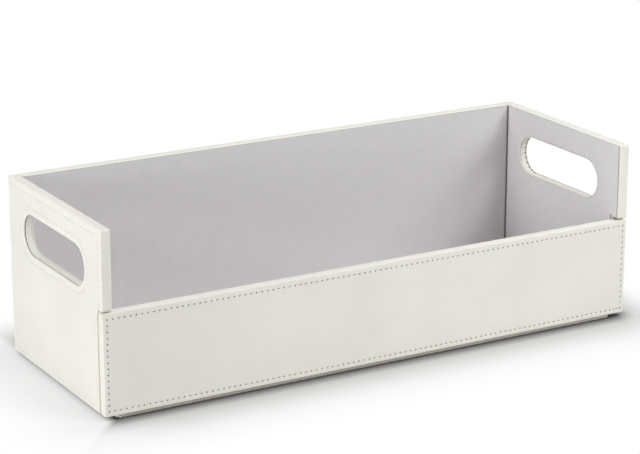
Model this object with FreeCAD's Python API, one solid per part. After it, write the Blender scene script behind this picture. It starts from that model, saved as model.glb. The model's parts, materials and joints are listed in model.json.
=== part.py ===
"""Open-topped storage box for compact-disc cases, 454 x 163 x 141.5 mm.

Five boards are wrapped in soft leather, lined inside with twill and glued to each other: two end
walls with an obround handle hole, a back wall between them, a floor, and a low front that seats in
a step cut from each end wall.  A thin cloth-covered base lifts the box off the table.

Frame: +X along the length, -Y towards the low front, +Z up.  The origin is on the table, under the
middle of the box.  Millimetres.
"""
import FreeCAD
import Part
import os

Vector = FreeCAD.Vector

# ---- driving dimensions: the whole box -------------------------------------------------------
LENGTH = 454.0            # over the two end walls
DEPTH = 163.0             # front face to back face
WALL_HEIGHT = 138.0       # end and back walls, from their lower edge to the rim
FRONT_HEIGHT = 77.0       # the low front, from the same lower edge
BASE_LIFT = 3.5           # how far the base holds those lower edges off the table

# ---- driving dimensions: what a wall is made of ----------------------------------------------
WALL_BOARD = 6.0          # board inside the end, back and front walls
FLOOR_BOARD = 5.0         # board inside the floor
LEATHER = 1.0             # soft leather skin, also where it turns in over an edge
LINING = 1.0              # twill on thin card

# ---- driving dimensions: edges and seams -----------------------------------------------------
CORNER_ROUND = 2.5        # corners of a wall, seen square on
EDGE_ROUND = 1.5          # long edges on the outside, where the leather folds round the board
RIM_ROUND = 0.7           # inner edge of a rim
RIM_MARGIN = 1.0          # leather left showing between a rim and the lining
MOUTH_MARGIN = 2.2        # the same at the front edges of the end walls
CORNER_SEAM = 0.7         # lining stops this short of an inside corner
STEP_MARGIN = 0.8         # the same over the step in the end walls
STEP_GAP = 1.8            # open joint over the front wall, under the step in the end walls
THROUGH = 1.0             # how far a cutting bar runs past each face that it cuts

# ---- driving dimensions: handle holes --------------------------------------------------------
HANDLE_LENGTH = 108.0     # finished hole, over its round ends
HANDLE_HEIGHT = 31.6
HANDLE_DROP = 36.5        # centre of the hole below the rim
HANDLE_SET_BACK = 1.5     # centre of the hole behind the middle of the wall
LIP_DEPTH = 1.5           # outside leather folded into the hole
COLLAR_SEAM = 0.5         # sewn groove between that lip and the collar

# ---- driving dimensions: base ----------------------------------------------------------------
BASE_CLOTH = 0.5          # cloth wrapped under and round the base board
BASE_INSET_ENDS = 10.5    # base edge inside the outer faces of the end walls
BASE_INSET_FRONT = 3.0
BASE_INSET_BACK = 10.0
BASE_CORNER = 4.0

# ---- places that follow from them ------------------------------------------------------------
WALL = LEATHER + WALL_BOARD + LINING
RIGHT = LENGTH / 2
FRONT = -DEPTH / 2
BACK = DEPTH / 2
FOOT = BASE_LIFT
RIM = FOOT + WALL_HEIGHT
FRONT_TOP = FOOT + FRONT_HEIGHT
FLOOR_TOP = FOOT + LEATHER + FLOOR_BOARD + LINING

INSIDE_RIGHT = RIGHT - WALL
INSIDE_FRONT = FRONT + WALL
INSIDE_BACK = BACK - WALL

STEP_Y = INSIDE_FRONT
STEP_Z = FRONT_TOP + STEP_GAP

HANDLE_Y = HANDLE_SET_BACK
HANDLE_Z = RIM - HANDLE_DROP


# ---- small helpers ---------------------------------------------------------------------------
def block(x, y, z):
    """Box between three (low, high) pairs."""
    return Part.makeBox(x[1] - x[0], y[1] - y[0], z[1] - z[0], Vector(x[0], y[0], z[0]))


def in_from(span, step):
    """A (low, high) pair moved in by step at both ends."""
    return (span[0] + step, span[1] - step)


def edges_in_plane(shape, axis, value):
    """Edges that lie in the plane where the named axis, X, Y or Z, has that value."""
    low, high = axis + "Min", axis + "Max"
    found = []
    for edge in shape.Edges:
        box = edge.optimalBoundingBox()
        if abs(getattr(box, low) - value) < 1e-3 and abs(getattr(box, high) - value) < 1e-3:
            found.append(edge)
    return found


def edges_along(shape, axis):
    """Straight edges parallel to X, Y or Z."""
    number = "XYZ".index(axis)
    found = []
    for edge in shape.Edges:
        is_straight = edge.Curve.TypeId == "Part::GeomLine"
        if is_straight and abs(edge.tangentAt(edge.FirstParameter)[number]) > 0.999:
            found.append(edge)
    return found


def mirrored(shape):
    """The same piece for the other end of the box."""
    return shape.mirror(Vector(0, 0, 0), Vector(1, 0, 0))


# ---- end walls: drawn for the right-hand end -------------------------------------------------
def end_plate(x, inset, corner):
    """Plate in the end wall's stepped outline, moved in by inset, with its outward corners rounded."""
    front, back = FRONT + inset, BACK - inset
    foot, rim = FOOT + inset, RIM - inset
    step_y, step_z = STEP_Y + inset, STEP_Z + inset
    outline = [(step_y, foot), (back, foot), (back, rim), (front, rim), (front, step_z), (step_y, step_z)]
    points = [Vector(x[0], y, z) for y, z in outline + outline[:1]]
    plate = Part.Face(Part.makePolygon(points)).extrude(Vector(x[1] - x[0], 0, 0))
    outward = []
    for edge in edges_along(plate, "X"):
        y, z = edge.Vertexes[0].Y, edge.Vertexes[0].Z
        is_step = abs(y - step_y) < 1e-6 and abs(z - step_z) < 1e-6
        if not is_step:
            outward.append(edge)
    return plate.makeFillet(corner, outward)


def handle_slot(x, grow):
    """Obround bar the size of the handle hole, grown all round, between two x places."""
    radius = HANDLE_HEIGHT / 2 + grow
    half = HANDLE_LENGTH / 2 + grow - radius
    low, high = HANDLE_Z - radius, HANDLE_Z + radius
    near, far = HANDLE_Y - half, HANDLE_Y + half

    def at(y, z):
        return Vector(x[0], y, z)

    wire = Part.Wire([
        Part.LineSegment(at(near, low), at(far, low)).toShape(),
        Part.Arc(at(far, low), at(far + radius, HANDLE_Z), at(far, high)).toShape(),
        Part.LineSegment(at(far, high), at(near, high)).toShape(),
        Part.Arc(at(near, high), at(near - radius, HANDLE_Z), at(near, low)).toShape(),
    ])
    return Part.Face(wire).extrude(Vector(x[1] - x[0], 0, 0))


def end_outside():
    """The finished end wall as one solid: stepped outline, handle hole, folded leather edges."""
    faces = (INSIDE_RIGHT, RIGHT)
    wall = end_plate(faces, 0.0, CORNER_ROUND).cut(handle_slot(in_from(faces, -THROUGH), 0.0))
    wall = wall.makeFillet(EDGE_ROUND, edges_in_plane(wall, "X", RIGHT))
    rim_edges = []
    for edge in edges_in_plane(wall, "X", INSIDE_RIGHT):
        if edge.BoundBox.ZMin > STEP_Z - 1e-3 and not near_handle(edge):
            rim_edges.append(edge)
    return wall.makeFillet(RIM_ROUND, rim_edges)


def near_handle(edge):
    """True for an edge on the handle hole's own outline."""
    box = edge.BoundBox
    reach = HANDLE_HEIGHT / 2 + EDGE_ROUND
    return box.ZMin > HANDLE_Z - reach and box.ZMax < HANDLE_Z + reach and box.YMin > FRONT + CORNER_ROUND


def end_board():
    board = (INSIDE_RIGHT + LINING, RIGHT - LEATHER)
    plate = end_plate(board, LEATHER, CORNER_ROUND - LEATHER)
    return plate.cut(handle_slot(in_from(board, -THROUGH), LEATHER))


def end_lining():
    """Twill on the inner face: it follows the step and leaves the leather showing at the mouth."""
    skin = (INSIDE_RIGHT, INSIDE_RIGHT + LINING)
    back, step = INSIDE_BACK - CORNER_SEAM, STEP_Z + STEP_MARGIN
    upper = block(skin, (FRONT + MOUTH_MARGIN, back), (step, RIM - RIM_MARGIN))
    lower = block(skin, (STEP_Y + MOUTH_MARGIN, back), (FLOOR_TOP, step))
    sheet = upper.fuse(lower).removeSplitter()
    return sheet.cut(handle_slot(in_from(skin, -THROUGH), LEATHER))


def handle_collar():
    """Leather strip sewn round the inside of the handle hole, from the groove to the lining's face."""
    strip = (INSIDE_RIGHT, RIGHT - LIP_DEPTH - COLLAR_SEAM)
    return handle_slot(strip, LEATHER).cut(handle_slot(in_from(strip, -THROUGH), 0.0))


def end_cover():
    """Leather round the end board: outer face, every edge, the lip in the hole and the turn-in."""
    groove = (RIGHT - LIP_DEPTH - COLLAR_SEAM, RIGHT - LIP_DEPTH)
    behind_groove = handle_slot((INSIDE_RIGHT, groove[1]), LEATHER)
    return end_outside().cut(end_board()).cut(end_lining()).cut(behind_groove)


# ---- front, back and floor -------------------------------------------------------------------
def front_wall():
    """Low front over the full length: (board, cover, lining)."""
    x, y, z = (-RIGHT, RIGHT), (FRONT, INSIDE_FRONT), (FOOT, FRONT_TOP)
    outside = block(x, y, z)
    outside = outside.makeFillet(CORNER_ROUND, edges_along(outside, "Y"))
    folded = edges_in_plane(outside, "Y", FRONT) + edges_in_plane(outside, "Y", INSIDE_FRONT)
    outside = outside.makeFillet(EDGE_ROUND, folded)
    board = block(in_from(x, LEATHER), (FRONT + LEATHER, INSIDE_FRONT - LINING), in_from(z, LEATHER))
    lining = block((-INSIDE_RIGHT, INSIDE_RIGHT), (INSIDE_FRONT - LINING, INSIDE_FRONT),
                   (FLOOR_TOP, FRONT_TOP - EDGE_ROUND - RIM_MARGIN))
    return board, outside.cut(board).cut(lining), lining


def back_wall():
    """Back between the end walls: (board, cover, lining)."""
    x, y, z = (-INSIDE_RIGHT, INSIDE_RIGHT), (INSIDE_BACK, BACK), (FOOT, RIM)
    outside = block(x, y, z)
    outside = outside.makeFillet(EDGE_ROUND, edges_in_plane(outside, "Y", BACK))
    inner_rim = []
    for edge in edges_in_plane(outside, "Y", INSIDE_BACK):
        if edge.BoundBox.ZMin > RIM - 1e-3:
            inner_rim.append(edge)
    outside = outside.makeFillet(RIM_ROUND, inner_rim)
    board = block(in_from(x, LEATHER), (INSIDE_BACK + LINING, BACK - LEATHER), in_from(z, LEATHER))
    lining = block(in_from(x, CORNER_SEAM), (INSIDE_BACK, INSIDE_BACK + LINING),
                   (FLOOR_TOP, RIM - RIM_MARGIN))
    return board, outside.cut(board).cut(lining), lining


def floor():
    """Floor between all four walls: (board, cover, lining)."""
    x, y = (-INSIDE_RIGHT, INSIDE_RIGHT), (INSIDE_FRONT, INSIDE_BACK)
    outside = block(x, y, (FOOT, FLOOR_TOP - LINING))
    board = block(in_from(x, LEATHER), in_from(y, LEATHER), (FOOT + LEATHER, FLOOR_TOP - LINING))
    lining = block(x, y, (FLOOR_TOP - LINING, FLOOR_TOP))
    return board, outside.cut(board), lining


# ---- base ------------------------------------------------------------------------------------
def base():
    """Thin board under the floor and the cloth wrapped round it: (board, cloth)."""
    x = in_from((-RIGHT, RIGHT), BASE_INSET_ENDS)
    y = (FRONT + BASE_INSET_FRONT, BACK - BASE_INSET_BACK)
    outside = block(x, y, (0.0, FOOT))
    outside = outside.makeFillet(BASE_CORNER, edges_along(outside, "Z"))
    board = block(in_from(x, BASE_CLOTH), in_from(y, BASE_CLOTH), (BASE_CLOTH, FOOT))
    board = board.makeFillet(BASE_CORNER - BASE_CLOTH, edges_along(board, "Z"))
    return board, outside.cut(board)


# ---- the assembly ----------------------------------------------------------------------------
def build():
    """Every piece of the box by its name."""
    pieces = {}
    for name, shape in (("end_board", end_board()), ("end_cover", end_cover()),
                        ("end_lining", end_lining()), ("handle_collar", handle_collar())):
        pieces["right_" + name] = shape
        pieces["left_" + name] = mirrored(shape)
    for side, wall in (("front", front_wall()), ("back", back_wall()), ("floor", floor())):
        for layer, shape in zip(("board", "cover", "lining"), wall):
            pieces[side + "_" + layer] = shape
    pieces["base_board"], pieces["base_cloth"] = base()
    return pieces


os.makedirs("parts", exist_ok=True)
for node, piece in build().items():
    piece.exportStep("parts/" + node + ".step")
    print("%-20s %8.1f mm3  solids %d" % (node, piece.Volume, len(piece.Solids)))
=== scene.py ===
# %% [markdown]
# # A leather-covered storage box
# The box stands open at the top, with a low front and a handle hole in each end. Inside every wall
# is a board. Soft off-white leather is folded round it and sewn, and the inside is lined with grey
# twill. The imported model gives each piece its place, so the first step is to load it and to keep
# the box that it fills. Every later size is read from it or named beside the piece that uses it.

import json
import math

import bmesh
import bpy
import numpy as np
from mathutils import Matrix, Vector

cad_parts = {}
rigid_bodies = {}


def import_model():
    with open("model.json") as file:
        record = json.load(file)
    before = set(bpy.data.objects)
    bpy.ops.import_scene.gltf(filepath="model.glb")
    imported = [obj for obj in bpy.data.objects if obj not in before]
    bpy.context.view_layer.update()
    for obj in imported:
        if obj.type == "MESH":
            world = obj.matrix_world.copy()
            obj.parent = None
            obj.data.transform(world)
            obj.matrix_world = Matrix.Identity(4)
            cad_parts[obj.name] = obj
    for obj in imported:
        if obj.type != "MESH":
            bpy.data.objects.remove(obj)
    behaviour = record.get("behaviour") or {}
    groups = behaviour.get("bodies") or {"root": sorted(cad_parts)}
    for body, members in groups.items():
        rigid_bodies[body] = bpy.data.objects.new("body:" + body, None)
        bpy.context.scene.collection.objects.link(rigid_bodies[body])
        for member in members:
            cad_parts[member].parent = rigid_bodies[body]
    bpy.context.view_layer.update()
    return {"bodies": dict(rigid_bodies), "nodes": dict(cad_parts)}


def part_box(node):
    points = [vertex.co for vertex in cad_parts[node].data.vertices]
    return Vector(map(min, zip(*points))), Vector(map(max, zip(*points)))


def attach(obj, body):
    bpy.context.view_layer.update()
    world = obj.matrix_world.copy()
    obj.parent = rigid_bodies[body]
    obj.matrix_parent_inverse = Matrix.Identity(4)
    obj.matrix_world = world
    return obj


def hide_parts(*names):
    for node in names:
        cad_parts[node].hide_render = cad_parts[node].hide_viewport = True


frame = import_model()
BODY = next(iter(frame["bodies"]))
MM = 0.001
print("body", BODY, "with", len(frame["nodes"]), "pieces")

# %% [markdown]
# ## The places that everything shares
# A wall's thickness is read from the low front. The step in each end wall begins where the front
# stops, so it is measured from there too. Values that no box of the frame can give, such as the
# width of leather left showing beside the lining, are the maker's own and are named here once.

# %% Places and thicknesses
front_low, front_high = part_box("front_cover")
end_low, end_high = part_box("right_end_cover")
lining_low, lining_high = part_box("right_end_lining")
collar_low, collar_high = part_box("right_handle_collar")
base_low, base_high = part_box("base_cloth")

RIGHT = end_high.x
FRONT, BACK = end_low.y, end_high.y
FOOT, RIM = end_low.z, end_high.z
FRONT_TOP = front_high.z
FLOOR_TOP = lining_low.z
WALL = front_high.y - front_low.y
INSIDE_RIGHT = RIGHT - WALL
INSIDE_FRONT, INSIDE_BACK = FRONT + WALL, BACK - WALL

LEATHER = 1.0 * MM  # the hide's thickness
LINING = lining_high.x - lining_low.x
STEP_GAP = 1.8 * MM  # the open joint between the front's top and the step
STEP_Z = FRONT_TOP + STEP_GAP
MOUTH_MARGIN = lining_low.y - FRONT
STEP_MARGIN = 0.8 * MM  # leather left showing above the step
RIM_MARGIN = RIM - lining_high.z
CORNER_ROUND = 1.2 * MM  # a wall's corner, seen on its broad side
EDGE_ROUND = 0.8 * MM  # the outer fold, seen in the section

HOLE_Y = (collar_low.y + collar_high.y) / 2
HOLE_Z = (collar_low.z + collar_high.z) / 2
HOLE_WIDTH = collar_high.y - collar_low.y - 2 * LEATHER
HOLE_HEIGHT = collar_high.z - collar_low.z - 2 * LEATHER
LIP_DEPTH = 1.5 * MM  # how far the cover folds into the hole
COLLAR_TOP = RIGHT - collar_high.x
print("walls %.1f mm, handle hole %.1f x %.1f mm" % (WALL / MM, HOLE_WIDTH / MM, HOLE_HEIGHT / MM))

# %% [markdown]
# ## Shader maths as plain expressions
# A node tree is easier to read as sums than as wires. `Wire` holds one output socket. Adding,
# multiplying or subtracting it makes the Math node, also when a plain number stands first. Any
# other node comes from `node`, which takes its type, its settings and what its sockets get.

# %% A wire that can be added and multiplied
class Wire:
    def __init__(self, tree, socket=None):
        self.tree, self.socket = tree, socket

    def node(self, kind, inputs=None, output=0, **settings):
        """Any node: its settings first, then values or wires for its sockets."""
        made = self.tree.nodes.new(kind)
        for name, value in settings.items():
            setattr(made, name, value)
        for name, value in (inputs or {}).items():
            if isinstance(value, Wire):
                self.tree.links.new(value.socket, made.inputs[name])
            else:
                made.inputs[name].default_value = value
        return Wire(self.tree, made.outputs[output])

    def maths(self, operation, first, second=0.0):
        return self.node("ShaderNodeMath", {0: first, 1: second}, operation=operation)

    def __add__(self, other):
        return self.maths("ADD", self, other)

    def __sub__(self, other):
        return self.maths("SUBTRACT", self, other)

    def __rsub__(self, other):
        return self.maths("SUBTRACT", other, self)

    def __mul__(self, other):
        return self.maths("MULTIPLY", self, other)

    __radd__ = __add__
    __rmul__ = __mul__

    def wave(self, length):
        """Ribs of that length along this value, as a sine that runs from 0 to 1."""
        return self.maths("SINE", self * (math.tau / length)) * 0.5 + 0.5

    def above_zero(self):
        return self.maths("MAXIMUM", self, 0.0)

    def clamped(self, low, high):
        """0 at low, 1 at high, and straight between."""
        return self.node("ShaderNodeMapRange", {"Value": self, "From Min": low, "From Max": high})

    def mixed(self, colour_a, colour_b):
        """colour_a where this value is 0 and colour_b where it is 1."""
        inputs = {0: self, 6: colour_a, 7: colour_b}
        return self.node("ShaderNodeMix", inputs, output=2, data_type="RGBA")


print("a Wire can be added, subtracted and multiplied, also after a plain number")

# %% Colours written as they look
def srgb(red, green, blue):
    """A colour written as it looks, 0 to 255, in the renderer's linear values."""
    def linear(value):
        value = value / 255
        return value / 12.92 if value <= 0.04045 else ((value + 0.055) / 1.055) ** 2.4

    return (linear(red), linear(green), linear(blue), 1.0)


print("an off-white written 240 240 233 is", [round(c, 3) for c in srgb(240, 240, 233)])

# %% [markdown]
# ## One way to start every finish
# Each material needs a shader, a place to read and a bump at its end. `Finish` makes these once,
# so that the recipe that follows is only about leather, twill, thread or board. Places are read in
# metres on the object, so a grain of 1 mm is 1 mm on every wall.

# %% Finishes
class Finish:
    def __init__(self, name, **constants):
        self.material = bpy.data.materials.new(name)
        self.material.use_nodes = True
        self.tree = self.material.node_tree
        self.shader = self.tree.nodes["Principled BSDF"]
        for socket, value in constants.items():
            self.shader.inputs[socket.replace("_", " ")].default_value = value
        self.start = Wire(self.tree)
        self.place = self.start.node("ShaderNodeTexCoord", output=3)

    def axis(self, letter):
        """One coordinate of the place, in metres."""
        return self.start.node("ShaderNodeSeparateXYZ", {0: self.place}, output="XYZ".index(letter))

    def noise(self, size, detail=2.0, stretch=None):
        """Soft noise whose spots are about size metres across."""
        place = self.place
        if stretch:
            place = self.start.node("ShaderNodeVectorMath", {0: place, 1: stretch}, operation="MULTIPLY")
        return self.start.node("ShaderNodeTexNoise", {"Vector": place, "Scale": 1 / size, "Detail": detail})

    def pebbles(self, size):
        """Distance to the nearest crease between pebbles about size metres across."""
        inputs = {"Vector": self.place, "Scale": 1 / size}
        return self.start.node("ShaderNodeTexVoronoi", inputs, feature="DISTANCE_TO_EDGE")

    def mark(self, name):
        """A value painted on the mesh's points."""
        return self.start.node("ShaderNodeAttribute", output=2, attribute_name=name)

    def feed(self, socket, value):
        self.tree.links.new(value.socket, self.shader.inputs[socket])

    def bump(self, height, depth):
        """height from 0 to 1 stands for depth metres of relief."""
        inputs = {"Height": height, "Distance": depth, "Strength": 1.0}
        self.feed("Normal", self.start.node("ShaderNodeBump", inputs))


def put_on(piece, finish):
    piece.data.materials.clear()
    piece.data.materials.append(finish.material)


print("finish kit ready")

# %% [markdown]
# ## Drawing a wall before it is covered
# A covered wall is an outline with a thickness. `Sheet` keeps that outline in the wall's own plane:
# u and v run along it and h comes out of it. It gives rings, which are the outline moved inwards by
# some distance. Rings stacked one after another make the leather that folds round a board. Every
# ring has the same number of points, so neighbouring rings join with plain four-sided faces. Where
# a seam runs, the points crowd round each needle hole, so that a real hole can be pressed in.

# %% Points along a side
NEAR_HOLE = np.array([-0.9, -0.65, -0.35, 0.0, 0.35, 0.65, 0.9]) * MM
STITCH = 4.5 * MM
PLAIN_STEP = 6.0 * MM  # between points where no seam runs
ROUND_STEP = 3.0 * MM  # the same round a handle hole
ARC_POINTS = 7  # in a rounded corner, its two ends among them


def spaced(length, holes):
    """Places from 0 to 1 along a side: crowded round each hole, or plainly spaced without holes."""
    if holes is None:
        return np.linspace(0, 1, int(length / PLAIN_STEP) + 2)
    middles = (holes[1:] + holes[:-1]) / 2
    near = (holes[:, None] + NEAR_HOLE[None, :] / length).ravel()
    places = np.concatenate([near, middles, [0.0, 1.0]])
    places = places[(places >= 0) & (places <= 1)]
    return np.unique(np.round(places, 7))


print("a plain side of 100 mm gets", len(spaced(100 * MM, None)), "points")

# %% A wall's outline and its rings
class Sheet:
    def __init__(self, place, corners, corner_round=0.0, seam=None, pitch=STITCH, last=()):
        """place turns u, v, h into x, y, z. Corners run anticlockwise. seam is in from each side.
        last gives the shares of a stitch that end the first side's seam."""
        self.place, self.corner_round = place, corner_round
        self.corners = np.array(corners, float)
        self.sides = len(corners)
        self.along = np.roll(self.corners, -1, 0) - self.corners
        self.along /= np.linalg.norm(self.along, axis=1)[:, None]
        self.inward = np.stack([-self.along[:, 1], self.along[:, 0]], 1)
        self.runs, self.holes = [], np.zeros((0, 2))
        stations = self.moved_corners(seam or [0.0] * self.sides)
        for side in range(self.sides):
            start, end = stations[side], stations[(side + 1) % self.sides]
            length = np.linalg.norm(end - start)
            holes = None
            if seam:
                gaps = [1.0] * round(length / pitch)
                if side == 0 and last:
                    gaps[-len(last) + 1:] = last
                holes = np.concatenate([[0.0], np.cumsum(gaps)]) / sum(gaps)
            self.runs.append(spaced(length, holes))
            if seam:
                self.holes = np.concatenate([self.holes, start + (end - start) * holes[:-1, None]])

    def moved_corners(self, distances):
        """Where neighbouring sides meet once each has moved in by its own distance."""
        moved = []
        for side in range(self.sides):
            before = side - 1
            shift = self.inward[before] * distances[before] + self.inward[side] * distances[side]
            moved.append(self.corners[side] + shift)
        return np.array(moved)

    def ring(self, distances):
        """The outline moved in, as points in u and v."""
        if np.isscalar(distances):
            distances = [distances] * self.sides
        moved = self.moved_corners(distances)
        starts, ends, arcs = {}, {}, {}
        for side in range(self.sides):
            before = (side - 1) % self.sides
            first, second = self.along[before], self.along[side]
            outward = first[0] * second[1] - first[1] * second[0] > 0
            left = max(self.corner_round - max(distances[before], distances[side]), 0.0)
            radius = left if outward else 0.0
            starts[side], ends[before] = moved[side] + second * radius, moved[side] - first * radius
            arcs[side] = np.zeros((0, 2))
            if outward and self.corner_round:
                turn = np.linspace(0, math.pi / 2, ARC_POINTS)[1:-1, None]
                centre = moved[side] + (second - first) * radius
                arcs[side] = centre + radius * (first * np.sin(turn) - self.inward[before] * np.cos(turn))
        parts = []
        for side in range(self.sides):
            parts.append(arcs[side])
            parts.append(starts[side] + (ends[side] - starts[side]) * self.runs[side][:, None])
        return np.concatenate(parts)


square = Sheet(None, [(0, 0), (WALL, 0), (WALL, WALL), (0, WALL)])
print("a small plain square has rings of", len(square.ring(0.0)), "points")

# %% The handle hole's outline and its rings
class Slot:
    """The long round-ended handle hole, with the same kind of rings, moved out into the wall."""
    def __init__(self, place, seam=None, pitch=STITCH):
        self.place, self.radius = place, HOLE_HEIGHT / 2
        self.half = HOLE_WIDTH / 2 - self.radius
        seam_radius = self.radius + (seam or 0.0)
        self.lengths = [2 * self.half, math.pi * seam_radius] * 2
        total = sum(self.lengths)
        count = round(total / (pitch if seam else ROUND_STEP))
        holes = np.arange(count) / count
        if seam:
            near = (holes[:, None] + NEAR_HOLE[None, :] / total).ravel()
            spots = np.concatenate([near, holes + 0.5 / count])
        else:
            spots = holes
        self.middle, self.out = self.bone(np.unique(np.round(spots % 1.0, 7)) * total)
        middle, out = self.bone(holes * total)
        self.holes = middle + out * seam_radius if seam else np.zeros((0, 2))

    def bone(self, travel):
        """The middle line's point and the way out from it, after travelling so far round."""
        middle, out = [], []
        for left in travel:
            for part, length in enumerate(self.lengths):
                if left <= length or part == 3:
                    break
                left -= length
            sign = 1 if part < 2 else -1
            if part % 2 == 0:
                middle.append((HOLE_Y + sign * (left - self.half), HOLE_Z))
                out.append((0.0, -sign))
            else:
                turn = left / length * math.pi
                middle.append((HOLE_Y + sign * self.half, HOLE_Z))
                out.append((sign * math.sin(turn), -sign * math.cos(turn)))
        return np.array(middle), np.array(out)

    def ring(self, distance):
        return self.middle + self.out * (self.radius + distance)


print("the handle hole is", round(sum(Slot(None).lengths) / MM), "mm round")

# %% Each wall in its place
def points(x, y, z):
    """Places from three coordinates, any of which may be one number for all."""
    return np.stack(np.broadcast_arrays(x, y, z), -1)


def on_right(u, v, h):
    return points(INSIDE_RIGHT + h, u, v)


def on_left(u, v, h):
    return points(-INSIDE_RIGHT - h, u, v)


def on_front(u, v, h):
    return points(u, INSIDE_FRONT - h, v)


def on_back(u, v, h):
    return points(u, INSIDE_BACK + h, v)


print("straight out of the right wall is", on_right(0.0, 0.0, 1.0) - on_right(0.0, 0.0, 0.0))

# %% [markdown]
# ## Folding leather round a board
# Real covers are cut flat, pared at the edges, glued, and folded round. What the eye reads is the
# section: a tight roll at the rim, a softer roll at the outer edge, a slight welt, then a valley
# where the thread pulls the leather down. So a cover is made as that section swept round the wall.
# A plain bevel on a block gives the rolls but never the welt and the valley.

# %% Folds, and needle holes pressed in
PIT_RADIUS = 0.66 * MM
PIT_DEPTH = 0.80 * MM
PITTED = 0.4 * MM  # only this much of the outer skin is pressed in
MARGIN_WIDTH, MARGIN_DEPTH = 2.9 * MM, 0.6 * MM  # the border outside a seam


def roll(radius, from_angle, to_angle, centre, steps):
    """Points of a round fold in the section, as (distance in, height) pairs."""
    fold = []
    for turn in np.linspace(math.radians(from_angle), math.radians(to_angle), steps):
        fold.append((centre[0] - radius * math.cos(turn), centre[1] + radius * math.sin(turn)))
    return fold


def to_nearest(flat, holes):
    """How far each point is from the nearest needle hole, or a metre where there is none."""
    if len(holes) == 0:
        return np.ones(len(flat))
    apart = flat[:, None, :] - holes[None, :, :]
    return np.sqrt((apart ** 2).sum(-1)).min(1)


def strip(shape, section):
    """Rings for a section of (distances, height), with painted shade where a third value gives one."""
    places, marks = [], {"hole_shade": [], "margin": [], "painted_shade": []}
    outside = max(point[1] for point in section)
    for distances, height, *painted_shade in section:
        flat = shape.ring(distances)
        heights = np.full(len(flat), height)
        hole_shade = np.zeros(len(flat))
        if height > outside - PITTED:
            share = np.clip(1 - (to_nearest(flat, shape.holes) / PIT_RADIUS) ** 2, 0, 1)
            # painted shade inside the needle hole, full over most of it
            hole_shade = np.clip(share * 4, 0, 1)
            heights = heights - PIT_DEPTH * np.sqrt(share) * np.clip(share * 3, 0, 1)
        near = distances if np.isscalar(distances) else min(distances)
        places.append(shape.place(*flat.T, heights))
        marks["hole_shade"].append(hole_shade)
        beside_edge = near < MARGIN_WIDTH and height > outside - MARGIN_DEPTH
        marks["margin"].append(np.full(len(flat), float(beside_edge)))
        # a third value paints shade on that ring
        marks["painted_shade"].append(np.full(len(flat), painted_shade[0] if painted_shade else 0.0))
    return places, marks


print("a hole is %.1f mm across and %.1f mm deep" % (2 * PIT_RADIUS / MM, PIT_DEPTH / MM))

# %% Rings joined to one closed skin
SAME_PLACE, NO_LENGTH, SAME_LEVEL = 0.002 * MM, 0.001 * MM, 0.02 * MM


def new_piece(name, mesh, finish):
    """A smooth mesh as a named piece that rides on the box."""
    mesh.shade_smooth()
    piece = bpy.data.objects.new(name, mesh)
    bpy.context.scene.collection.objects.link(piece)
    put_on(piece, finish)
    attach(piece, BODY)
    return piece


def skin(name, strips, finish, slot, *nodes):
    """One mesh from one or more strips, with flat fields closed between them."""
    places, faces, start = [], [], 0
    for rings, _ in strips:
        count = len(rings[0])
        for level in range(len(rings) - 1):
            here = start + level * count + np.arange(count)
            there = here - np.arange(count) + np.roll(np.arange(count), -1)
            faces.append(np.stack([here, there, there + count, here + count], 1))
        start += count * len(rings)
        places += rings
    mesh = bpy.data.meshes.new(name)
    mesh.from_pydata(np.concatenate(places).tolist(), [], np.concatenate(faces).tolist())
    for label in ("hole_shade", "margin", "painted_shade"):
        values = np.concatenate([row for _, marks in strips for row in marks[label]])
        mesh.attributes.new(label, "FLOAT", "POINT").data.foreach_set("value", values.astype(np.float32))
    net = bmesh.new()
    net.from_mesh(mesh)
    bmesh.ops.remove_doubles(net, verts=net.verts, dist=SAME_PLACE)
    bmesh.ops.dissolve_degenerate(net, edges=net.edges, dist=NO_LENGTH)
    open_edges = [edge for edge in net.edges if edge.is_boundary]
    first = strips[0][0][0]
    flat_axis = int(np.argmin(np.ptp(first, axis=0)))
    levels = sorted({round(edge.verts[0].co[flat_axis], 5) for edge in open_edges})
    for level in levels:
        rim = [edge for edge in open_edges if abs(edge.verts[0].co[flat_axis] - level) < SAME_LEVEL]
        bmesh.ops.triangle_fill(net, edges=rim, use_beauty=True)
    bmesh.ops.recalc_face_normals(net, faces=net.faces)
    net.to_mesh(mesh)
    closed = not any(edge.is_boundary for edge in net.edges)
    net.free()
    piece = new_piece(name, mesh, finish)
    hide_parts(*nodes)
    print(name, len(mesh.polygons), "faces,", "closed" if closed else "OPEN")


print("points nearer than", SAME_PLACE / MM, "mm become one")

# %% The section beside a seam
WELT_STOP = 0.8 * MM  # the welt ends this far before the seam


def seam_section(seam):
    """From the outer roll, over a welt and down into the thread's valley, to the flat field."""
    seam = np.array(seam)
    path = []
    for share, rise in ((0.35, 0.04), (0.7, 0.07), (0.9, 0.06)):
        path.append((EDGE_ROUND + (seam - WELT_STOP - EDGE_ROUND) * share, WALL + rise * MM))
    for offset, rise in zip(NEAR_HOLE, (0.04, 0.02, -0.01, -0.02, -0.01, 0.01, 0.02)):
        path.append((seam + offset, WALL + rise * MM))
    for offset, rise in ((1.5, 0.03), (2.2, 0.01), (3.0, 0.0), (3.4, 0.0)):
        path.append((seam + offset * MM, WALL + rise * MM))
    return path


print("the section beside a seam has", len(seam_section(0.0)), "points")

# %% [markdown]
# ## The leather
# The hide is a soft off-white with a very fine pebble. Three things make it read as leather and not as
# paint: the pebble breaks up the shine, broad faint clouds shift the tone by a percent or two, and the
# needle holes get painted shade, darker inside than the light alone would make them. A cell pattern gives
# the pebble, because its walls are creases and its middles are round, as on real grain. The skins carry
# marks on their points that say where a needle hole's painted shade, a sewn border or painted shade beside
# an edge lies.

# %% Leather finish
CLOUD, FLECK, PEBBLE, PORE = 60 * MM, 5 * MM, 0.9 * MM, 0.35 * MM
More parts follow.
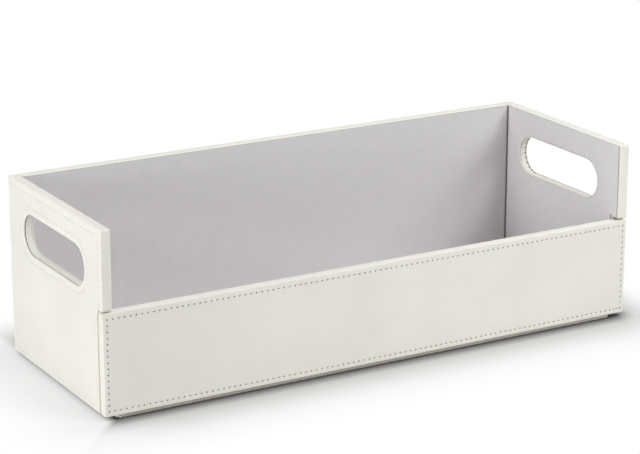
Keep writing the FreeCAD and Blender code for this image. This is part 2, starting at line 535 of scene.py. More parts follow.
# the second colour is painted shade: beside the linings' edges, in the handle lips and in the collars'
# creases
CREASE, PAINTED_SHADE_TONE = srgb(206, 204, 190), srgb(172, 170, 148)


def leather_finish(name, hole, hole_shade_weight, hide=(240, 239, 231), margin=(241, 240, 233)):
    """Off-white leather. Needle holes get painted shade, leaning towards hole by the given weight, and
    borders lean towards margin.
    """
    paler, deeper = (srgb(*(part + step for part in hide)) for step in (3, -3))
    finish = Finish(name, Specular_IOR_Level=0.35, Sheen_Weight=0.05, Sheen_Roughness=0.5)
    pebble = finish.pebbles(PEBBLE).clamped(0.0, 0.32)
    cloud = finish.noise(CLOUD).clamped(0.35, 0.65)
    fleck = finish.noise(FLECK, 3.0).clamped(0.35, 0.65)
    tone = (fleck * 0.35).mixed(cloud.mixed(deeper, paler), deeper)
    tone = ((1 - pebble) * 0.12).mixed(tone, CREASE)
    tone = (finish.mark("margin") * 0.35).mixed(tone, srgb(*margin))
    # painted shade where the skin marks it
    tone = finish.mark("painted_shade").mixed(tone, PAINTED_SHADE_TONE)
    # needle holes: painted shade inside them
    finish.feed("Base Color", (finish.mark("hole_shade") * hole_shade_weight).mixed(tone, srgb(*hole)))
    finish.feed("Roughness", 0.46 + cloud * 0.04 + (1 - pebble) * 0.10)
    finish.bump(pebble * 0.7 + finish.noise(PORE) * 0.3, 0.035 * MM)
    return finish


# The needle holes' painted shade differs: strong and dark on the front, where the light grazes, and weak
# and pale on the ends, which face the light.
bright_leather = leather_finish("off_white_leather_ends", (150, 148, 140), 0.6)
front_leather = leather_finish("off_white_leather_front", (26, 24, 18), 1.0, margin=(239, 237, 224))
# The collars' hide is a little deeper: partly their own tone, partly painted shade inside the handle holes.
collar_leather = leather_finish("collar_leather", (140, 137, 126), 0.0, hide=(237, 236, 228))
print("leather ready, with pale needle holes, with dark ones, and a deeper tone for the collars")

# %% [markdown]
# ## Thread, twill, base cloth and board
# The thread is waxed and nearly the leather's own colour, so it shows mostly by its light. Tapes and cords
# are twisted yarn too, so they share its recipe; some are in their own colours, while the grey tape,
# partly, and the beige groove cord and the olive step tape are in colours of painted shade. The twill
# lining is grey with a breath of lilac, and its fine ridges climb on the diagonal. A picture of cloth would
# have to be unwrapped on every wall, while one sum, x + y + z, runs on the diagonal over all of them at
# once. The cloth on the base is coarser and brown-grey, with its diagonals turning back and forth as in
# herringbone. Board shows nowhere on the finished box, but every piece gets its real material.

# %% Recipes for thread, twill, cloth and board
def thread_finish(name, colour, shade):
    finish = Finish(name, Specular_IOR_Level=0.4, Sheen_Weight=0.2, Sheen_Roughness=0.4)
    x, y, z = (finish.axis(letter) for letter in "XYZ")
    twist = (x + y * 1.3 + z * 0.8).wave(0.34 * MM)
    finish.feed("Base Color", twist.mixed(shade, colour))
    finish.feed("Roughness", 0.55 + twist * 0.1)
    finish.bump(twist, 0.04 * MM)
    return finish


def twill_finish():
    finish = Finish("grey_twill", Specular_IOR_Level=0.2, Sheen_Weight=0.25, Sheen_Roughness=0.6)
    x, y, z = (finish.axis(letter) for letter in "XYZ")
    wobble = finish.noise(9 * MM) * (0.4 * MM)
    ridge = (x + y + z + wobble).wave(1.9 * MM)
    yarn = (x - y * 0.6 - z).wave(0.42 * MM)
    fluff = finish.noise(0.3 * MM)
    slub = finish.noise(7 * MM, 3.0).clamped(0.3, 0.7)
    weave = ridge * 0.8 + yarn * 0.2
    tone = weave.mixed(srgb(202, 200, 201), srgb(239, 237, 238))
    tone = (fluff * 0.25).mixed(tone, srgb(240, 238, 239))
    finish.feed("Base Color", (slub * 0.12).mixed(tone, srgb(204, 201, 202)))
    finish.feed("Roughness", 0.86 + slub * 0.08)
    finish.bump(weave * 0.7 + fluff * 0.3, 0.15 * MM)
    return finish


def base_cloth_finish():
    finish = Finish("taupe_base_cloth", Specular_IOR_Level=0.2, Sheen_Weight=0.15, Sheen_Roughness=0.6)
    x, y, z = (finish.axis(letter) for letter in "XYZ")
    zigzag = finish.start.maths("PINGPONG", x, 4.0 * MM)
    cord = (zigzag + y + z).wave(1.8 * MM)
    fluff = finish.noise(0.4 * MM)
    tone = cord.mixed(srgb(126, 117, 106), srgb(246, 240, 230))
    finish.feed("Base Color", (fluff * 0.2).mixed(tone, srgb(212, 204, 192)))
    finish.feed("Roughness", 0.82 + fluff * 0.12)
    finish.bump(cord * 0.8 + fluff * 0.2, 0.18 * MM)
    return finish


def board_finish():
    finish = Finish("fibre_board", Specular_IOR_Level=0.2)
    fibre = finish.noise(0.5 * MM, 4.0, (1.0, 1.0, 3.0))
    layer = finish.noise(4 * MM, 2.0, (0.3, 0.3, 4.0))
    tone = fibre.mixed(srgb(150, 118, 82), srgb(186, 155, 115))
    finish.feed("Base Color", (layer * 0.4).mixed(tone, srgb(128, 98, 66)))
    finish.feed("Roughness", 0.78 + fibre * 0.15)
    finish.bump(fibre, 0.08 * MM)
    return finish


print("four recipes ready")

# %% Every finish, and the bare model in its own
pale_thread = thread_finish("pale_thread", srgb(251, 250, 245), srgb(234, 233, 225))
dark_thread = thread_finish("dark_thread", srgb(84, 79, 72), srgb(46, 43, 40))
groove_thread = thread_finish("olive_groove_thread", srgb(138, 130, 112), srgb(104, 97, 82))
mouth_cord = thread_finish("olive_mouth_cord", srgb(192, 190, 174), srgb(166, 164, 148))
# painted shadow: the twill's edge beside the step, and partly the gap in the back corners
shade_tape = thread_finish("grey_shade_tape", srgb(136, 133, 131), srgb(112, 108, 107))
white_step_tape = thread_finish("white_step_tape", srgb(241, 239, 230), srgb(228, 225, 212))
# painted shade of the gap under the right step
step_tape_painted_shade = thread_finish("step_tape_painted_shade", srgb(206, 202, 176), srgb(186, 180, 152))
# painted shade of the groove between each end wall and the front
groove_shade_cord = thread_finish("beige_groove_shade_cord", srgb(208, 201, 186), srgb(182, 176, 160))
twill = twill_finish()
base_cloth = base_cloth_finish()
board = board_finish()
for name, node in frame["nodes"].items():
    node.data.materials.clear()
    for ending, finish in (("board", board), ("lining", twill), ("cloth", base_cloth)):
        if name.endswith(ending):
            put_on(node, finish)
    if not node.data.materials:
        put_on(node, bright_leather)
print(len(bpy.data.materials), "finishes")

# %% [markdown]
# ## The end walls
# Each end wall is the tallest part. Its outline has a step at the front, where the low front wall
# seats, and a long round-ended handle hole. The cover folds over every edge and a short lip folds
# into the hole. One seam follows the stepped outline and another rings the hole. A block with the
# hole cut by a Boolean would be quicker, but its folds would have to run along a ragged cut. The
# left wall is the right one drawn at the other side, so both come from one function.

# %% End covers
STEP_Y = INSIDE_FRONT
END_OUTLINE = [(STEP_Y, FOOT), (BACK, FOOT), (BACK, RIM), (FRONT, RIM), (FRONT, STEP_Z), (STEP_Y, STEP_Z)]
# The lists below follow the six sides: foot, back, rim, mouth, over the step, behind the step.
END_SEAM = [3.6 * MM, 4.5 * MM, 5.4 * MM, 5.7 * MM, 3.0 * MM, 5.3 * MM]
END_EDGE = [FLOOR_TOP - FOOT, BACK - lining_high.y, RIM_MARGIN, MOUTH_MARGIN, STEP_MARGIN, MOUTH_MARGIN]
# where the painted shade beside the lining ends, side by side
END_SHADED = [FLOOR_TOP - FOOT, BACK - lining_high.y, 0.9 * MM, 1.7 * MM, 0.75 * MM, 1.0 * MM]
END_REACH = np.array([0.7, 0.7, 0.7, 1.5, 0.7, 0.9]) * MM
HOLE_SEAM = 5.2 * MM
INNER_ROLL = 1.4 * MM
HIDDEN_FIELD = 9.0 * MM  # how far in the unseen back of a skin begins
LIP_SOFT = 0.2 * MM


def inner_turn(edge, shaded_to, reach):
    """The hidden inside of a cover, its turned-in edge with painted shade from the lining's edge up to the
    second distance, and its inner roll.
    """
    path = [(HIDDEN_FIELD, WALL - LEATHER), (LEATHER, WALL - LEATHER), (LEATHER, LINING)]
    path += [(edge, LINING), (edge, 0.0, 1.0), (shaded_to, 0.0, 0.8)]
    return path + [(reach * away, INNER_ROLL * high) for away, high in roll(1.0, -90, 0, (1.0, 1.0), 7)]


def outer_roll():
    return [(0.0, WALL * 0.5)] + roll(EDGE_ROUND, 0, 90, (EDGE_ROUND, WALL - EDGE_ROUND), 7)


def end_cover(side, place):
    wall = Sheet(place, END_OUTLINE, CORNER_ROUND, END_SEAM)
    hole = Slot(place, HOLE_SEAM)
    outline = inner_turn(END_EDGE, END_SHADED, END_REACH) + outer_roll() + seam_section(END_SEAM)
    # The lip's inner end, down in the hole, gets painted shade.
    lip = [(HIDDEN_FIELD, WALL - LEATHER), (LEATHER, WALL - LEATHER), (LEATHER, WALL - LIP_DEPTH, 1.0)]
    lip += [(LIP_SOFT, WALL - LIP_DEPTH, 1.0), (0.0, WALL - LIP_DEPTH + LIP_SOFT)]
    lip += roll(EDGE_ROUND, 0, 90, (EDGE_ROUND, WALL - EDGE_ROUND), 8) + seam_section(HOLE_SEAM)
    strips = [strip(wall, outline), strip(hole, lip)]
    skin(side + "_end_leather", strips, bright_leather, "leather", side + "_end_cover")
    return wall, hole


right_wall, right_hole = end_cover("right", on_right)
left_wall, left_hole = end_cover("left", on_left)
print(len(right_wall.holes), "holes round the wall and", len(right_hole.holes), "round the handle")

# %% [markdown]
# ## The front and the back
# The low front runs the full length and its seam stands out most, as a dark dotted rectangle. The
# back stands between the end walls. Both are plain oblongs, so they need only other margins, in the
# order foot, right, top, left. A hand-guided seam rarely ends on a whole stitch, so the front's
# lowest line closes with three short ones.

# %% Front and back covers
FRONT_OUTLINE = [(-RIGHT, FOOT), (RIGHT, FOOT), (RIGHT, FRONT_TOP), (-RIGHT, FRONT_TOP)]
FRONT_SEAM = [3.8 * MM, 3.3 * MM, 4.5 * MM, 3.3 * MM]
FRONT_STITCH = 4.56 * MM
LAST_STITCHES = (0.80, 0.57, 0.75)  # the short ones that close the foot's seam
FRONT_FIELD = 9.5 * MM  # how far in the unseen back of this skin begins
front_lining_low, front_lining_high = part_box("front_lining")
front_edge = [FLOOR_TOP - FOOT, WALL, FRONT_TOP - front_lining_high.z, WALL]
front_wall = Sheet(on_front, FRONT_OUTLINE, CORNER_ROUND, FRONT_SEAM, FRONT_STITCH, LAST_STITCHES)
section = [(FRONT_FIELD, WALL - LEATHER), (LEATHER, WALL - LEATHER), (LEATHER, LINING)]
section += [(front_edge, LINING), (front_edge, 0.0)] + roll(EDGE_ROUND, -90, 0, (EDGE_ROUND, EDGE_ROUND), 7)
section += outer_roll() + seam_section(FRONT_SEAM)
skin("front_leather", [strip(front_wall, section)], front_leather, "leather", "front_cover")

BACK_OUTLINE = [(-INSIDE_RIGHT, FOOT), (INSIDE_RIGHT, FOOT), (INSIDE_RIGHT, RIM), (-INSIDE_RIGHT, RIM)]
BACK_SEAM = [3.6 * MM, 4.5 * MM, 5.4 * MM, 4.5 * MM]
BACK_REACH = 0.7 * MM
back_lining_low, back_lining_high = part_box("back_lining")
back_gap = INSIDE_RIGHT - back_lining_high.x
back_edge = [FLOOR_TOP - FOOT, back_gap, RIM_MARGIN, back_gap]
back_wall = Sheet(on_back, BACK_OUTLINE, 0.0, BACK_SEAM)
# where the painted shade beside the back's lining ends
back_shaded = [back_edge[0], back_gap, 0.9 * MM, back_gap]
section = inner_turn(back_edge, back_shaded, BACK_REACH) + outer_roll() + seam_section(BACK_SEAM)
skin("back_leather", [strip(back_wall, section)], bright_leather, "leather", "back_cover")
print(len(front_wall.holes), "holes round the front and", len(back_wall.holes), "round the back")

# %% [markdown]
# ## Thread
# A lockstitch lies on the leather between two holes and dives into each. It is made as one tube
# whose middle follows the seam and sinks near every hole. Painting the thread on would save faces,
# but it would not catch the light or throw the small shadow that makes a seam read as sewn.

# %% A tube along a path
def tube(path, up, radius, sides=6, closed=True, height=1.0):
    """Rings of points round a path. up is the way out of the surface, and height below 1 flattens."""
    if closed:
        ahead = np.roll(path, -1, 0) - np.roll(path, 1, 0)
    else:
        ahead = np.gradient(path, axis=0)
    ahead /= np.linalg.norm(ahead, axis=1)[:, None]
    across = np.cross(up, ahead)
    across /= np.linalg.norm(across, axis=1)[:, None]
    top = np.cross(ahead, across)
    turns = np.arange(sides) / sides * math.tau
    rings = path[:, None, :] + radius * (
        across[:, None, :] * np.cos(turns)[None, :, None]
        + height * top[:, None, :] * np.sin(turns)[None, :, None])
    count, faces = len(path), []
    for step in range(count if closed else count - 1):
        here, there = step * sides, (step + 1) % count * sides
        for k in range(sides):
            n = (k + 1) % sides
            faces.append((here + k, here + n, there + n, there + k))
    if not closed:
        faces.append(tuple(range(sides))[::-1])
        faces.append(tuple(range((count - 1) * sides, count * sides)))
    return rings.reshape(-1, 3), faces


def thread_piece(name, tubes, finish):
    """Several tubes as one named piece."""
    places, faces, start = [], [], 0
    for corners, sides in tubes:
        places.append(corners)
        faces += [tuple(start + k for k in face) for face in sides]
        start += len(corners)
    mesh = bpy.data.meshes.new(name)
    mesh.from_pydata(np.concatenate(places).tolist(), [], faces)
    new_piece(name, mesh, finish)
    print(name, len(mesh.polygons), "faces")


straight = np.array([[0.0, 0.0, 0.0], [1.0, 0.0, 0.0]])
one_tube = tube(straight, np.array([0.0, 0.0, 1.0]), 0.1, closed=False)
print("a straight tube with two rings has", len(one_tube[1]), "faces")

# %% Seams
THREAD_RADIUS, FRONT_THREAD_RADIUS = 0.21 * MM, 0.23 * MM
THREAD_FLAT = 0.75  # how high a pulled thread is for its width
FRONT_PROUD = 0.10 * MM  # the front's thread stands this much higher
THREAD_DIVE = 1.0 * MM  # how deep a thread goes down in its hole
IN_HOLE, CLIMB = 0.45 * MM, 0.5 * MM  # it starts to rise here, and is up after this much more
SAME_POINT = 0.01 * MM  # a point this near the last one is left out


def way_out(shape):
    """The direction out of a wall, from two places one above the other."""
    return shape.place(0.0, 0.0, 1.0) - shape.place(0.0, 0.0, 0.0)


def stitch_line(shape, distances, radius=THREAD_RADIUS, proud=0.0):
    """The thread of one seam: on the leather between the holes and down in each."""
    flat = shape.ring(distances)
    flat = flat[np.linalg.norm(flat - np.roll(flat, 1, 0), axis=1) > SAME_POINT]
    rise = np.clip((to_nearest(flat, shape.holes) - IN_HOLE) / CLIMB, 0, 1)
    level = WALL + proud - (1 - np.sin(rise * math.pi / 2)) * THREAD_DIVE
    return tube(shape.place(*flat.T, level), way_out(shape), radius, height=THREAD_FLAT)


front_thread = stitch_line(front_wall, FRONT_SEAM, FRONT_THREAD_RADIUS, FRONT_PROUD)
thread_piece("front_seam", [front_thread], pale_thread)
thread_piece("back_seam", [stitch_line(back_wall, BACK_SEAM)], pale_thread)
for side, wall, hole in (("right", right_wall, right_hole), ("left", left_wall, left_hole)):
    lines = [stitch_line(wall, END_SEAM), stitch_line(hole, HOLE_SEAM)]
    thread_piece(side + "_end_seams", lines, pale_thread)

# %% [markdown]
# ## The handle collars
# Inside each hole a leather strip is glued round, from the lining's face almost to the outer lip.
# It meets the lip in a narrow groove with a dull cord in it. Stitches cross the groove where the
# strip has to bend, so they stand only in the two round ends, thick and dark in the right hole and
# fine and olive in the left. A bevelled curve could stand for the strip. The skin builder gives it
# the same rings as the lip beside it instead, so the groove keeps its width all the way round, and
# its soft inner end shows as a pale line.

# %% The collar's strip
COLLAR_HEIGHT = WALL - COLLAR_TOP


def collar(side, place):
    """The section starts at the board, rolls over the lining's edge, and runs up to the groove."""
    soft = 0.3 * MM
    # Third values paint shade: a thin line behind the rolled inner end, and the hidden ends.
    section = [(LEATHER, 0.1 * MM), (0.95 * MM, -0.05 * MM, 0.8)]
    section += [(0.5 * MM, -0.16 * MM)] + roll(0.34 * MM, -80, 60, (0.18 * MM, 0.32 * MM), 6)
    section += [(0.05 * MM, 0.78 * MM, 0.3), (0.14 * MM, 0.95 * MM, 1.0), (0.04 * MM, 1.15 * MM, 0.3)]
    section += [(0.0, 1.5 * MM), (-0.06 * MM, COLLAR_HEIGHT / 2), (0.0, COLLAR_HEIGHT - 1.2 * MM)]
    section += roll(soft, 0, 80, (soft, COLLAR_HEIGHT - soft), 4)
    section += [(LEATHER, COLLAR_HEIGHT, 1.0), (LEATHER, COLLAR_HEIGHT / 2), (LEATHER, 0.1 * MM)]
    rings = strip(Slot(place), section)
    skin(side + "_collar", [rings], collar_leather, "leather", side + "_handle_collar")


print("the collar stands %.1f mm high in the wall" % (COLLAR_HEIGHT / MM))

# %% Stitches and cord in the groove
GROOVE = (COLLAR_HEIGHT + WALL - LIP_DEPTH) / 2
COLLAR_SEAM, COLLAR_STITCH = 0.55 * MM, 4.6 * MM
GROOVE_SEAM, GROOVE_CORD = 0.62 * MM, 0.26 * MM
CROSS_LENGTH, CROSS_SINK = 1.9 * MM, 0.30 * MM
CROSS_BACK, CROSS_PROUD = 0.5 * MM, 0.28 * MM  # from the groove, towards the strip and the hole
DASH_POINTS = 7


def dashes(centres, along, ups, length, radius, sink):
    """Short bowed stitches: each rises at its middle and dives at both ends."""
    made = []
    share = np.linspace(-1, 1, DASH_POINTS)[:, None]
    for centre, up in zip(centres, np.broadcast_to(ups, centres.shape)):
        path = centre + along * share * length / 2 - up * (share ** 2) * sink
        made.append(tube(path, up, radius, closed=False))
    return made


def collar_stitches(side, place, finish, radius):
    """Stitches across the groove in the two round ends, and the cord that lies in it."""
    ring = Slot(place, COLLAR_SEAM, COLLAR_STITCH)
    flat = ring.holes[np.abs(ring.holes[:, 0] - HOLE_Y) > ring.half]
    middle = np.clip(flat[:, 0], HOLE_Y - ring.half, HOLE_Y + ring.half)
    ups = points(0.0, middle - flat[:, 0], HOLE_Z - flat[:, 1])
    ups /= np.linalg.norm(ups, axis=1)[:, None]
    centres = ring.place(*flat.T, GROOVE - CROSS_BACK) + ups * CROSS_PROUD
    made = dashes(centres, way_out(ring), ups, CROSS_LENGTH, radius, CROSS_SINK)
    thread_piece(side + "_collar_stitches", made, finish)
    path = ring.place(*ring.ring(GROOVE_SEAM).T, GROOVE)
    inward = points(0.0, *-ring.out.T)
    thread_piece(side + "_collar_groove", [tube(path, inward, GROOVE_CORD)], groove_thread)


for side, place, finish, radius in (("right", on_right, dark_thread, 0.60 * MM),
                                    ("left", on_left, groove_thread, 0.36 * MM)):
    collar(side, place)
    collar_stitches(side, place, finish, radius)

# %% [markdown]
# ## The twill linings
# Each lining is twill glued on thin card and pressed against the wall. Its edges are folded over
# the card, so they are soft and not sharp. A bare plane would save faces but show no thickness at
# the rim. The same skin builder makes them, with a section that has only a back, a small roll and
# a flat face.

# %% Linings
FOLD = 0.45 * MM  # how round the twill turns over the card's edge
LINING_SECTION = [(1.2 * MM, 0.02 * MM), (0.1 * MM, 0.02 * MM), (0.0, 0.15 * MM)]
LINING_SECTION += roll(FOLD, 0, 90, (FOLD, LINING - FOLD), 5)
LINING_SECTION += [(1.2 * MM, LINING + 0.03 * MM), (2.6 * MM, LINING + 0.01 * MM), (3.4 * MM, LINING)]


def facing_in(place):
    """The same wall seen from the inside, with h from the lining's back to its face."""
    return lambda u, v, h: place(u, v, LINING - h)


def lying(height, sign):
    """A level sheet at that height, with h going up for sign 1 and down for sign -1."""
    return lambda u, v, h: points(u, v, height + sign * h)


def lining_on(name, place, corners, node, hole=None):
    strips = [strip(Sheet(place, corners), LINING_SECTION)]
    if hole:
        strips.append(strip(hole, [(LEATHER + d, h) for d, h in LINING_SECTION]))
    skin(name, strips, twill, "lining", node)


def oblong(low, high, first, second):
    """Corners of a box's side, anticlockwise in the two named directions."""
    return [(low[first], low[second]), (high[first], low[second]),
            (high[first], high[second]), (low[first], high[second])]


top, foot, low_y, high_y = lining_high.z, lining_low.z, lining_low.y, lining_high.y
step = STEP_Z + STEP_MARGIN
inner_y = STEP_Y + MOUTH_MARGIN
END_LINING = [(inner_y, foot), (high_y, foot), (high_y, top), (low_y, top), (low_y, step), (inner_y, step)]
for side, place in (("right", facing_in(on_right)), ("left", facing_in(on_left))):
    lining_on(side + "_twill", place, END_LINING, side + "_end_lining", Slot(place))
corners = oblong(front_lining_low, front_lining_high, 0, 2)
lining_on("front_twill", facing_in(on_front), corners, "front_lining")
corners = oblong(back_lining_low, back_lining_high, 0, 2)
lining_on("back_twill", facing_in(on_back), corners, "back_lining")
corners = oblong(*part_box("floor_lining"), 0, 1)
lining_on("floor_twill", lying(FLOOR_TOP - LINING, 1), corners, "floor_lining")

# %% [markdown]
# ## Small seams and tapes
# Every edge where two materials meet is finished with something. At the mouth, a pale cord with a line of
# small olive stitches holds the twill's edge, and a short grey line beside the step is painted shadow at
# the twill's end. In the two back corners the linings stop just short of each other, and a grey tape with
# dark stitches closes the gap; its grey is partly painted shadow of that gap. A beige cord in the groove
# between each end wall and the front is painted shade of the groove, and a flat tape covers the step's
# underside: pale olive and thin at the right, where the olive is painted shade of the gap, and white and
# fuller at the left. Lines in the twill's own colour would blur when seen close, so all are tubes and
# dashes like the seams, some of them pressed flat.

# %% Mouth stitches, notch lines and corner tapes
UP = np.array([0.0, 0.0, 1.0])


def cord_piece(name, path, out, radius, finish, sides=8, height=1.0):
    """One open tube as a named piece."""
    thread_piece(name, [tube(path, out, radius, sides, False, height)], finish)


def mouth_stitches(side, sign):
    """A pale cord up the twill's front edge, and a row of small olive stitches on it."""
    level = np.arange(STEP_Z + 2.0 * MM, RIM - 2.0 * MM, 2.2 * MM)
    path = points(sign * INSIDE_RIGHT, FRONT + MOUTH_MARGIN - 0.25 * MM, level)
    out = np.array([-sign, 0.0, 0.0])
    made = dashes(path + out * 0.20 * MM, UP, out, 1.3 * MM, 0.26 * MM, 0.30 * MM)
    thread_piece(side + "_mouth_stitches", made, groove_thread)
    cord_piece(side + "_mouth_cord", path, out, 0.42 * MM, mouth_cord, height=0.7)


def notch_line(side, sign):
    """A short grey line where the twill ends beside the step, painted shadow of the twill's edge."""
    level = np.linspace(FRONT_TOP - 4.0 * MM, STEP_Z + STEP_MARGIN + 0.6 * MM, 6)
    path = points(sign * INSIDE_RIGHT, STEP_Y + MOUTH_MARGIN - 0.20 * MM, level)
    cord_piece(side + "_notch_line", path, np.array([-sign, 0.0, 0.0]), 0.38 * MM, shade_tape)


def corner_tape(side, sign):
    """A slightly wavy tape up the back corner, its grey partly painted shadow of the gap there, with
    stitches that stop short of the rim.
    """
    level = np.arange(FLOOR_TOP, RIM - RIM_MARGIN, 1.0 * MM)
    wave = 0.06 * MM * np.sin(level / (4.0 * MM) * math.tau)
    path = points(sign * (INSIDE_RIGHT - 0.30 * MM + wave), INSIDE_BACK - 0.30 * MM + wave, level)
    out = np.array([-sign, -1.0, 0.0]) / math.sqrt(2)
    cord_piece(side + "_corner_tape", path, out, 0.45 * MM, shade_tape)
    stitched = (path + out * 0.30 * MM)[2:-12:2]
    made = dashes(stitched, UP, out, 1.2 * MM, 0.30 * MM, 0.20 * MM)
    thread_piece(side + "_corner_stitches", made, dark_thread)


print("a stitch has", DASH_POINTS, "points along it, and a cord has 8 sides")

# %% Bindings and step tapes
def front_groove_shade(side, sign):
    """A beige cord that fills the groove between the end wall and the front wall, its colour painted shade
    of the groove.
    """
    level = np.arange(FOOT + 0.8 * MM, FRONT_TOP - 0.5 * MM, 1.5 * MM)
    path = points(sign * (RIGHT - 0.25 * MM), STEP_Y, level)
    out = np.array([sign, 0.0, 0.0])
    cord_piece(side + "_front_groove_shade", path, out, 1.5 * MM, groove_shade_cord, 12, 0.26)


def step_tape(side, sign, finish, outer, height):
    """A flat tape under the step, where the front wall seats, that fills part of the gap there. Its olive
    finish at the right is painted shade of the gap. It starts outer metres inside the wall's face."""
    reach = np.linspace(RIGHT - outer, INSIDE_RIGHT + 0.3 * MM, 8)
    path = points(sign * reach, (FRONT + STEP_Y) / 2, STEP_Z - 0.05 * MM)
    cord_piece(side + "_step_tape", path, -UP, WALL / 2 - 0.6 * MM, finish, 16, height)


for side, sign in (("right", 1), ("left", -1)):
    mouth_stitches(side, sign)
    notch_line(side, sign)
    corner_tape(side, sign)
    front_groove_shade(side, sign)

# the right tape's olive is painted shade of the gap; the left one is leather white and only fills the gap
step_tape("right", 1, step_tape_painted_shade, 0.5 * MM, 0.10)
step_tape("left", -1, white_step_tape, 0.15 * MM, 0.30)

# %% [markdown]
# ## Underneath
# The floor's underside is leather folded round its board, and a thin cloth-covered base lifts the
# box off the table. Bevelled cubes would nearly do, but the same builder, with a plain section and
# no seam, gives them the folds of the pieces round them.

# %% Floor leather and base cloth
FLOOR_FOLD, BASE_FOLD, BASE_CORNER = 0.6 * MM, 0.7 * MM, 4.0 * MM
FLOOR_FIELD, BASE_FIELD = 8.0 * MM, 6.0 * MM  # how far in their flat middles begin
CLOTH = 0.5 * MM

floor_low, floor_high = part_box("floor_cover")
deep = floor_high.z - floor_low.z
section = [(FLOOR_FIELD, deep - LEATHER), (LEATHER, deep - LEATHER), (LEATHER, 0.0), (0.0, 0.0)]
section += roll(FLOOR_FOLD, 0, 90, (FLOOR_FOLD, deep - FLOOR_FOLD), 4)
section += [(3.0 * MM, deep + 0.02 * MM), (FLOOR_FIELD, deep)]
sheet = Sheet(lying(FLOOR_TOP - LINING, -1), oblong(floor_low, floor_high, 0, 1))
skin("floor_leather", [strip(sheet, section)], bright_leather, "leather", "floor_cover")

deep = base_high.z - base_low.z
section = [(BASE_FIELD, deep - CLOTH), (CLOTH, deep - CLOTH), (CLOTH, 0.0), (0.05 * MM, 0.0)]
section += [(0.0, 0.2 * MM), (-0.06 * MM, deep / 2)]
section += roll(BASE_FOLD, 0, 90, (BASE_FOLD, deep - BASE_FOLD), 5)
section += [(3.0 * MM, deep), (BASE_FIELD, deep)]
sheet = Sheet(lying(base_high.z, -1), oblong(base_low, base_high, 0, 1), BASE_CORNER)
skin("base_herringbone", [strip(sheet, section)], base_cloth, "base_cloth", "base_cloth")

# %% [markdown]
# ## The white floor
# The box stands on a white sweep that keeps its shadow. Light alone would leave it grey, and more
# light would burn out the leather, so a camera ray gets some light of the floor's own, `lift`, which
# grows to plain white with the distance from the box. Ambient occlusion tells how much open sky a
# place has, within a wide and a near reach, and deepens the shadow at the foot by it. The window
# washes that out along the left end, so there the shade is eased and the lift raised. In front of
# that corner the lift alone is raised. All of it acts on camera rays only, and the light on the box
# doesn't change.

# %% Floor mesh
SWEEP_HALF, SWEEP_CELLS = 4.0, 8
floor_mesh = bpy.data.meshes.new("white_sweep")
net = bmesh.new()
bmesh.ops.create_grid(net, x_segments=SWEEP_CELLS, y_segments=SWEEP_CELLS, size=SWEEP_HALF)
net.to_mesh(floor_mesh)
net.free()
sweep = bpy.data.objects.new("white_sweep", floor_mesh)
bpy.context.scene.collection.objects.link(sweep)
print("floor", tuple(round(value, 2) for value in sweep.dimensions))

# %% Floor shade
WIDE_REACH, NEAR_REACH = 60 * MM, 13 * MM
WIDE_SHADE, NEAR_SHADE = 0.60, 1.58
WIDE_EASED, NEAR_EASED = 0.54, 1.50  # how much less of each at the window's side
WINDOW_FULL, WINDOW_NONE = 1 * MM, 9 * MM  # in from the left end, the window's side fades here
PALE, BLACK, WHITE = (0.8, 0.8, 0.8, 1.0), (0.0, 0.0, 0.0, 1.0), (1.0, 1.0, 1.0, 1.0)
white = Finish("white_sweep", Roughness=0.9, Specular_IOR_Level=0.1)
seen = white.start.node("ShaderNodeLightPath")
x, y = white.axis("X"), white.axis("Y")
in_front = (FRONT - y).above_zero()
# 1 past the left end, up to a diagonal that leaves the front corner, and 0 a few mm further in
window_side = 1 - (x + in_front).clamped(-RIGHT + WINDOW_FULL, -RIGHT + WINDOW_NONE)


def open_sky(reach, power):
    sky = white.start.node("ShaderNodeAmbientOcclusion", {"Distance": reach}, output=1)
    return white.start.maths("POWER", sky, power)


wide = open_sky(WIDE_REACH, WIDE_SHADE - window_side * WIDE_EASED)
near = open_sky(NEAR_REACH, NEAR_SHADE - window_side * NEAR_EASED)
white.feed("Base Color", (seen * (1 - wide * near)).mixed(PALE, BLACK))
print("shade reaches", round(WIDE_REACH / MM), "and", round(NEAR_REACH / MM), "mm")

# %% Floor lift
FADE = 85 * MM  # from here outwards the floor is plain white
LEAST_LIFT = 0.03
PAST_END = 1.5  # distance counts for more past the right end, so its shadow is shorter
WINDOW_LIFT, WINDOW_RISE, CORNER_LIFT = 0.53, 0.07, 0.51
RISE_REACH = 4 * MM  # the window's lift is up by its rise from here outwards
CORNER_WIDTH, CORNER_START, CORNER_FULL = 50 * MM, 8 * MM, 24 * MM  # along, and out from, the front
away = (x - RIGHT).above_zero() * PAST_END + (-RIGHT - x).above_zero()
aside = (white.start.maths("ABSOLUTE", y) - BACK).above_zero()
distance = white.start.maths("SQRT", away * away + aside * aside)
fade = distance.clamped(0.0, FADE)
lift = LEAST_LIFT + fade * fade * (3 - 2 * fade) * (1 - LEAST_LIFT)
beside = WINDOW_LIFT + distance.clamped(0.0, RISE_REACH) * WINDOW_RISE
corner = 1 - x.clamped(-RIGHT, -RIGHT + CORNER_WIDTH)
corner = corner * in_front.clamped(CORNER_START, CORNER_FULL)
for share in (window_side * beside, corner * CORNER_LIFT):
    lift = lift + (1 - lift) * share
glow = white.start.node("ShaderNodeEmission", {"Color": WHITE, "Strength": 1.0})
lit = Wire(white.tree, white.shader.outputs[0])
both = white.start.node("ShaderNodeMixShader", {0: seen * lift, 1: lit, 2: glow})
white.tree.links.new(both.socket, white.tree.nodes["Material Output"].inputs["Surface"])
put_on(sweep, white)
print("the floor is white from", round(FADE / MM), "mm out")

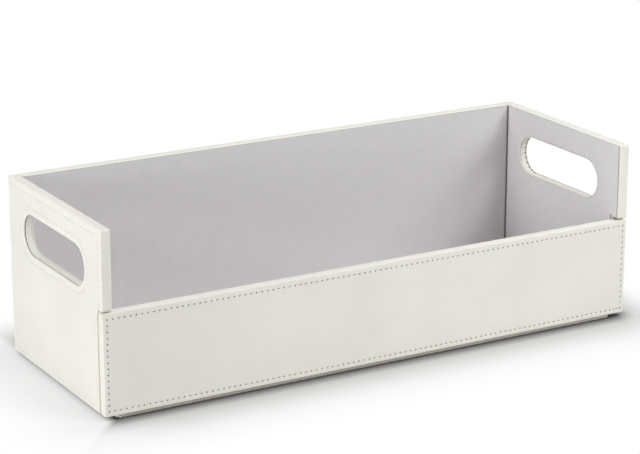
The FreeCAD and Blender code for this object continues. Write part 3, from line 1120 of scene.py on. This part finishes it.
# %% [markdown]
# ## Lamps
# Soft light comes from large lamps, because a large lamp throws a wide blurred shadow. The one at
# the left stands low, like a window, lights that end most, and shades the foot of each wall. One at
# the right front evens the long side, and one high up lights the rims and the inside. A picture of
# a room could light it all at once, but lamps can be moved one by one. The world adds the grey
# light of a room, and shows white to the camera and in reflections.

# %% Lamps and room light
def soft_lamp(name, place, target, size, power):
    """A rectangular lamp turned towards its target: places and sizes in metres, power in watts."""
    light = bpy.data.lights.new(name, "AREA")
    light.shape = "RECTANGLE"
    light.size, light.size_y = size
    light.energy = power
    lamp = bpy.data.objects.new(name, light)
    lamp.location = place
    lamp.rotation_euler = (Vector(target) - Vector(place)).to_track_quat("-Z", "Y").to_euler()
    bpy.context.scene.collection.objects.link(lamp)


soft_lamp("left_window", (-2.6, -0.35, 0.45), (0.0, 0.0, 0.05), (1.2, 0.7), 38.1)
soft_lamp("right_front_box", (0.9, -1.15, 1.3), (0.1, 0.0, 0.05), (1.0, 0.9), 20.4)
soft_lamp("top_light", (0.1, 0.5, 2.4), (0.0, 0.0, 0.0), (1.6, 1.6), 22.0)

ROOM_LIGHT = 0.18
world = bpy.data.worlds.new("white_room")
bpy.context.scene.world = world
world.use_nodes = True
room = Wire(world.node_tree)
background = world.node_tree.nodes["Background"]
camera_ray = room.node("ShaderNodeLightPath")
glossy_ray = Wire(world.node_tree, camera_ray.socket.node.outputs["Is Glossy Ray"])
through_ray = Wire(world.node_tree, camera_ray.socket.node.outputs["Is Transmission Ray"])
shown = room.maths("MAXIMUM", room.maths("MAXIMUM", camera_ray, glossy_ray), through_ray)
world.node_tree.links.new((ROOM_LIGHT + shown * (1 - ROOM_LIGHT)).socket, background.inputs["Strength"])
background.inputs["Color"].default_value = WHITE

# %% [markdown]
# ## Camera
# A long lens far away keeps the box's upright edges nearly parallel, where a short one close by
# would spread them. The camera stands left of the front and looks slightly down, so that it sees
# the front, one end and a little of the inside.

# %% Camera
CAMERA_PLACE = (-0.858, -1.4743, 0.6134)
CAMERA_TILT, CAMERA_TURN = 72.87, -30.05
FOCAL_LENGTH, SENSOR_WIDTH = 130.37, 36.0
lens = bpy.data.cameras.new("camera")
lens.lens, lens.sensor_width = FOCAL_LENGTH, SENSOR_WIDTH
lens.clip_end = 20.0
camera = bpy.data.objects.new("camera", lens)
camera.location = CAMERA_PLACE
camera.rotation_euler = (math.radians(CAMERA_TILT), 0.0, math.radians(CAMERA_TURN))
bpy.context.scene.collection.objects.link(camera)
bpy.context.scene.camera = camera
bpy.context.scene.view_settings.view_transform = "Standard"
print("camera", tuple(round(value, 3) for value in camera.location))
